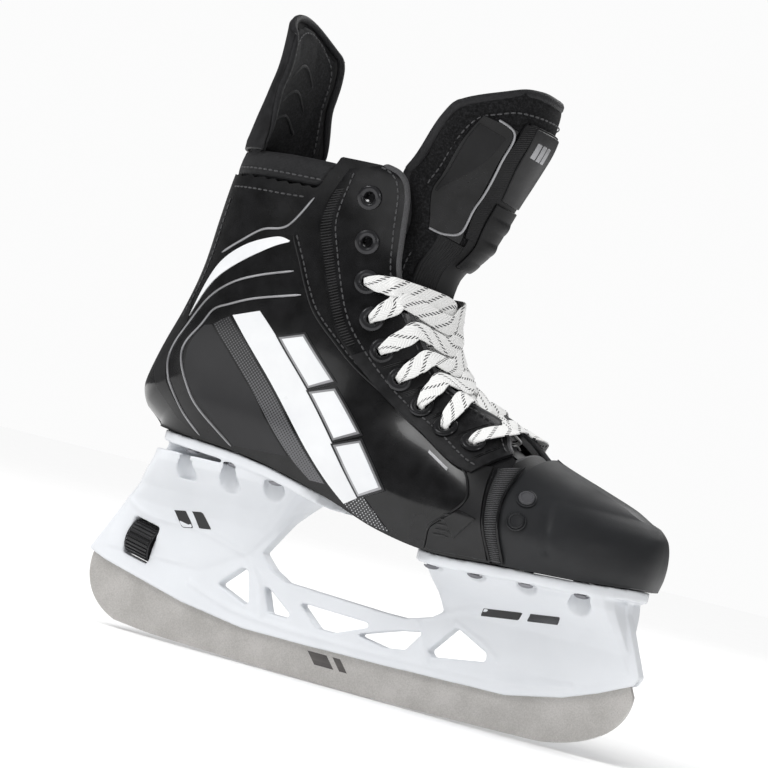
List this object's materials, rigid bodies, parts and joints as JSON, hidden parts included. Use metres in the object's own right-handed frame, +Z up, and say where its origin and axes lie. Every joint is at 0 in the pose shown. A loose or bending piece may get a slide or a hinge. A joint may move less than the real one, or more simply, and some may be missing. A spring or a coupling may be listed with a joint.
{
  "type": "ice skate",
  "caption": "Hockey ice skate for the right foot: moulded boot with laces, tongue and tendon guard, and a two-post holder with a quick-release steel runner.",
  "frame": {"origin": "middle of the flat contact spot on the underside of the blade, where the skate stands on the ice", "axes": "+X to the toe, +Y to the inner side of the foot (the wearer's left), +Z up from the ice"},
  "size_m": [0.282, 0.0952, 0.302],
  "materials": {
    "runner_steel": "ground stainless steel with fine lengthwise grinding marks",
    "holder_nylon": "white moulded nylon, satin gloss",
    "wheel_plastic": "black knurled plastic",
    "bolt_steel": "plain steel",
    "outsole_composite": "black moulded composite",
    "toe_cap_plastic": "dark grey-black moulded plastic, satin",
    "quarter_shell": "black glossy composite film with white and grey bands",
    "facing_leather": "black glossy coated leather, stitched",
    "footbed_foam": "dark knitted cover on foam",
    "liner_fabric": "black brushed microfibre on foam",
    "tongue_felt": "black felt with moulded face",
    "guard_plastic": "black flexible moulded plastic",
    "lace_cotton": "white waxed flat weave with dark flecks",
    "aglet_plastic": "clear shrink tip",
    "eyelet_metal": "black enamelled metal",
    "rivet_metal": "plated steel",
    "stud_plastic": "grey and black moulded studs"
  },
  "bodies": {
    "boot": {"holder": "holder_nylon", "outsole": "outsole_composite", "toe_cap": "toe_cap_plastic", "quarter_left": "quarter_shell", "quarter_right": "quarter_shell", "facing_left": "facing_leather", "facing_right": "facing_leather", "footbed": "footbed_foam", "ankle_liner_left": "liner_fabric", "ankle_liner_right": "liner_fabric", "tongue_lower": "tongue_felt", "lace": "lace_cotton", "lace_tail_left": "lace_cotton", "lace_tail_right": "lace_cotton", "lace_hank_left": "lace_cotton", "lace_hank_right": "lace_cotton", "aglet_left": "aglet_plastic", "aglet_right": "aglet_plastic", "eyelet_left_1": "eyelet_metal", "eyelet_left_2": "eyelet_metal", "eyelet_left_3": "eyelet_metal", "eyelet_left_4": "eyelet_metal", "eyelet_left_5": "eyelet_metal", "eyelet_left_6": "eyelet_metal", "eyelet_left_7": "eyelet_metal", "eyelet_left_8": "eyelet_metal", "eyelet_left_9": "eyelet_metal", "eyelet_right_1": "eyelet_metal", "eyelet_right_2": "eyelet_metal", "eyelet_right_3": "eyelet_metal", "eyelet_right_4": "eyelet_metal", "eyelet_right_5": "eyelet_metal", "eyelet_right_6": "eyelet_metal", "eyelet_right_7": "eyelet_metal", "eyelet_right_8": "eyelet_metal", "eyelet_right_9": "eyelet_metal", "heel_rivet_left_1": "rivet_metal", "heel_rivet_left_2": "rivet_metal", "heel_rivet_left_3": "rivet_metal", "heel_rivet_right_1": "rivet_metal", "heel_rivet_right_2": "rivet_metal", "heel_rivet_right_3": "rivet_metal", "toe_rivet_left_1": "rivet_metal", "toe_rivet_left_2": "rivet_metal", "toe_rivet_left_3": "rivet_metal", "toe_rivet_left_4": "rivet_metal", "toe_rivet_right_1": "rivet_metal", "toe_rivet_right_2": "rivet_metal", "toe_rivet_right_3": "rivet_metal", "toe_rivet_right_4": "rivet_metal", "toe_cap_stud_left_1": "stud_plastic", "toe_cap_stud_left_2": "stud_plastic", "toe_cap_stud_right_1": "stud_plastic", "toe_cap_stud_right_2": "stud_plastic"},
    "runner": {"runner_steel": "runner_steel"},
    "wheel": {"thumb_wheel": "wheel_plastic"},
    "bolt": {"lock_bolt": "bolt_steel"},
    "guard": {"tendon_guard": "guard_plastic", "tendon_guard_pad": "liner_fabric"},
    "tongue_top": {"tongue_upper": "tongue_felt"}
  },
  "joints": [
    {"name": "thumb_wheel_turn", "type": "hinge", "parent": "boot", "child": "wheel", "pos_m": [-0.114, 0, 0.0435], "axis": [0.9816, 0, -0.1908], "range_deg": [0, 720]},
    {"name": "lock_bolt_draw", "type": "slide", "parent": "boot", "child": "bolt", "axis": [0.9816, 0, -0.1908], "range_m": [-0.00605, 0]},
    {"name": "runner_drop", "type": "hinge", "parent": "boot", "child": "runner", "pos_m": [0.118, 0, 0.0335], "axis": [0, 1, 0], "range_deg": [-1.67, 0]},
    {"name": "tendon_guard_flex", "type": "hinge", "parent": "boot", "child": "guard", "pos_m": [-0.107, 0, 0.237], "axis": [0, 1, 0], "range_deg": [-25, 4], "stiffness_Nm_per_rad": 0.8},
    {"name": "tongue_flex", "type": "hinge", "parent": "boot", "child": "tongue_top", "pos_m": [0.0345, 0, 0.2425], "axis": [0, 1, 0], "range_deg": [0, 25], "stiffness_Nm_per_rad": 0.4}
  ],
  "couplings": [
    {"joint": "lock_bolt_draw", "follows": "runner_drop", "m_per_rad": 0.206},
    {"joint": "thumb_wheel_turn", "follows": "runner_drop", "ratio": -431.45}
  ]
}
